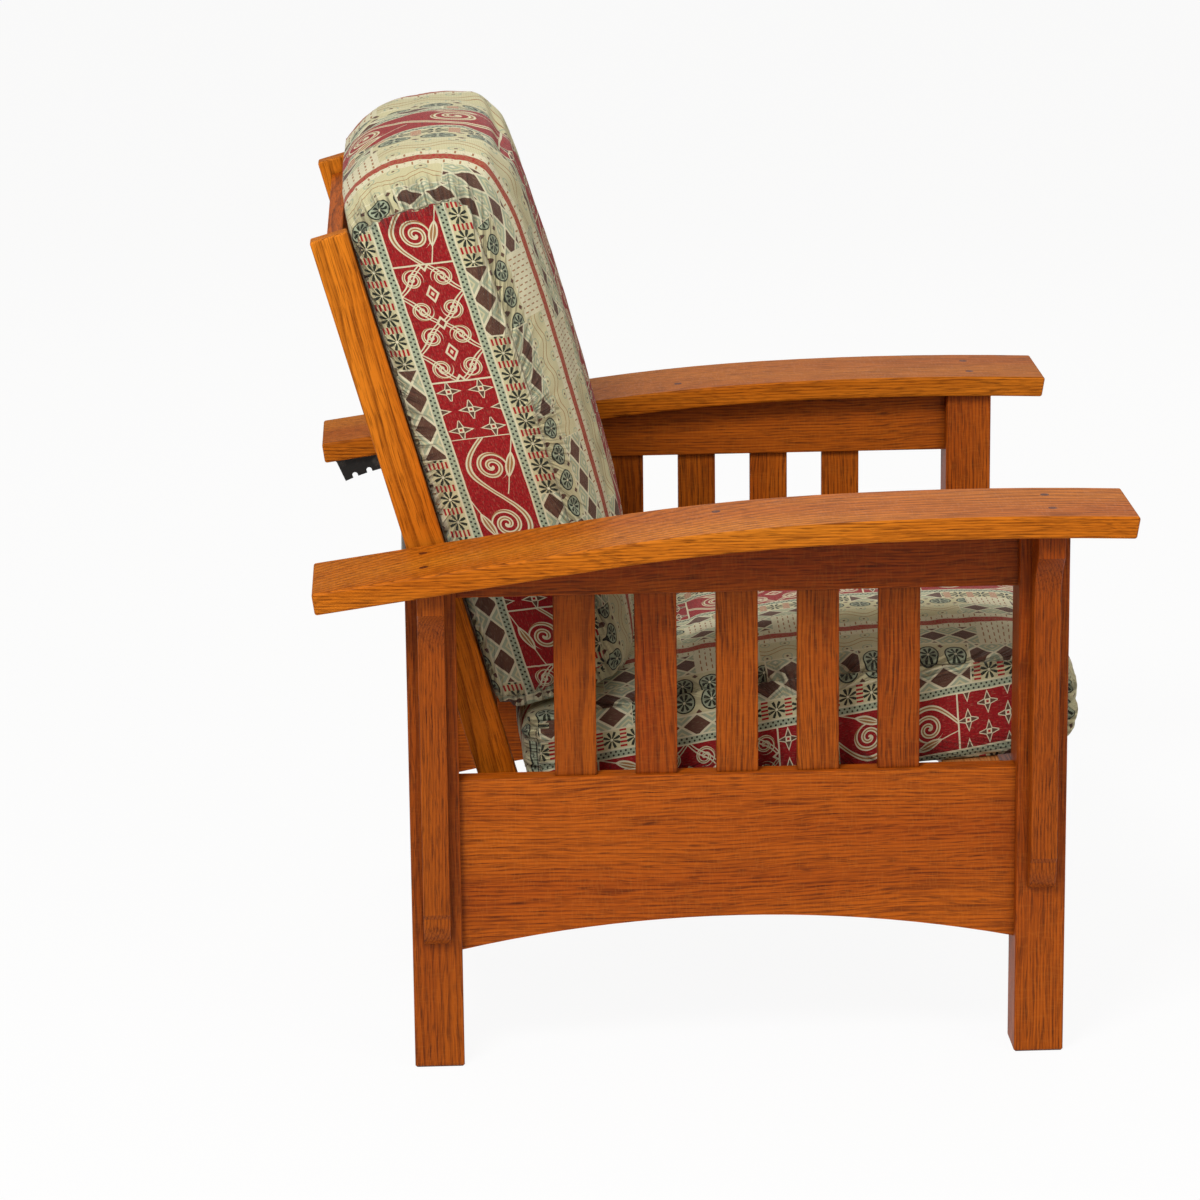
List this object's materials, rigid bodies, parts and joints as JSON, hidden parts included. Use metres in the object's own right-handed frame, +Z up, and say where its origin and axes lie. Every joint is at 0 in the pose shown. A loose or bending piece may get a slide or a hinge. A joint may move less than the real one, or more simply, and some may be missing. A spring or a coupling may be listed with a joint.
{
  "type": "reclining armchair",
  "caption": "Mission armchair with bowed arms, slatted sides, loose seat and back cushions, and a back that leans further through notched racks.",
  "frame": {"origin": "middle of the chair's outline on the floor, between the four feet", "axes": "+Z up, the sitter looks along -Y, and +X is the sitter's left"},
  "size_m": [0.83, 0.8711, 1.0005],
  "materials": {
    "quartered_oak": "satin lacquer",
    "plain_oak": "thin matt lacquer",
    "end_grain_plug": "satin lacquer",
    "tapestry_fabric": "flat woven",
    "black_steel": "satin black",
    "zinc_steel": "zinc plated"
  },
  "bodies": {
    "frame": {"arm_left": "quartered_oak", "arm_plugs": "end_grain_plug", "arm_right": "quartered_oak", "arm_screws": "zinc_steel", "deck_slat_1": "plain_oak", "deck_slat_2": "plain_oak", "deck_slat_3": "plain_oak", "deck_slat_4": "plain_oak", "deck_slat_5": "plain_oak", "frame_screws": "zinc_steel", "front_corbel_left": "quartered_oak", "front_corbel_right": "quartered_oak", "front_leg_left": "quartered_oak", "front_leg_right": "quartered_oak", "front_seat_rail": "quartered_oak", "hinge_bolts": "zinc_steel", "hinge_plate_left": "black_steel", "hinge_plate_right": "black_steel", "lower_side_rail_left": "quartered_oak", "lower_side_rail_right": "quartered_oak", "rear_corbel_left": "quartered_oak", "rear_corbel_right": "quartered_oak", "rear_leg_left": "quartered_oak", "rear_leg_right": "quartered_oak", "rear_seat_rail": "plain_oak", "recline_rack_left": "black_steel", "recline_rack_right": "black_steel", "seat_cleat_left": "plain_oak", "seat_cleat_right": "plain_oak", "seat_cushion": "tapestry_fabric", "side_slat_left_1": "quartered_oak", "side_slat_left_2": "quartered_oak", "side_slat_left_3": "quartered_oak", "side_slat_left_4": "quartered_oak", "side_slat_left_5": "quartered_oak", "side_slat_right_1": "quartered_oak", "side_slat_right_2": "quartered_oak", "side_slat_right_3": "quartered_oak", "side_slat_right_4": "quartered_oak", "side_slat_right_5": "quartered_oak", "upper_side_rail_left": "quartered_oak", "upper_side_rail_right": "quartered_oak"},
    "back": {"back_bottom_rail": "quartered_oak", "back_cushion": "tapestry_fabric", "back_slat_1": "quartered_oak", "back_slat_2": "quartered_oak", "back_slat_3": "quartered_oak", "back_slat_4": "quartered_oak", "back_slat_5": "quartered_oak", "back_stile_left": "quartered_oak", "back_stile_right": "quartered_oak", "back_top_rail": "quartered_oak", "hinge_arm_left": "black_steel", "hinge_arm_right": "black_steel", "hinge_arm_screws": "zinc_steel", "latch_screws": "zinc_steel"},
    "latch": {"latch_lever_left": "zinc_steel", "latch_lever_right": "zinc_steel", "release_bar": "zinc_steel"}
  },
  "joints": [
    {"name": "back_recline", "type": "hinge", "parent": "frame", "child": "back", "pos_m": [0, 0.309, 0.2835], "axis": [-1, 0, 0], "range_deg": [0, 29.4]},
    {"name": "latch_drop", "type": "hinge", "parent": "back", "child": "latch", "pos_m": [0, 0.30414, 0.53252], "axis": [-1, 0, 0], "range_deg": [0, 12]}
  ]
}
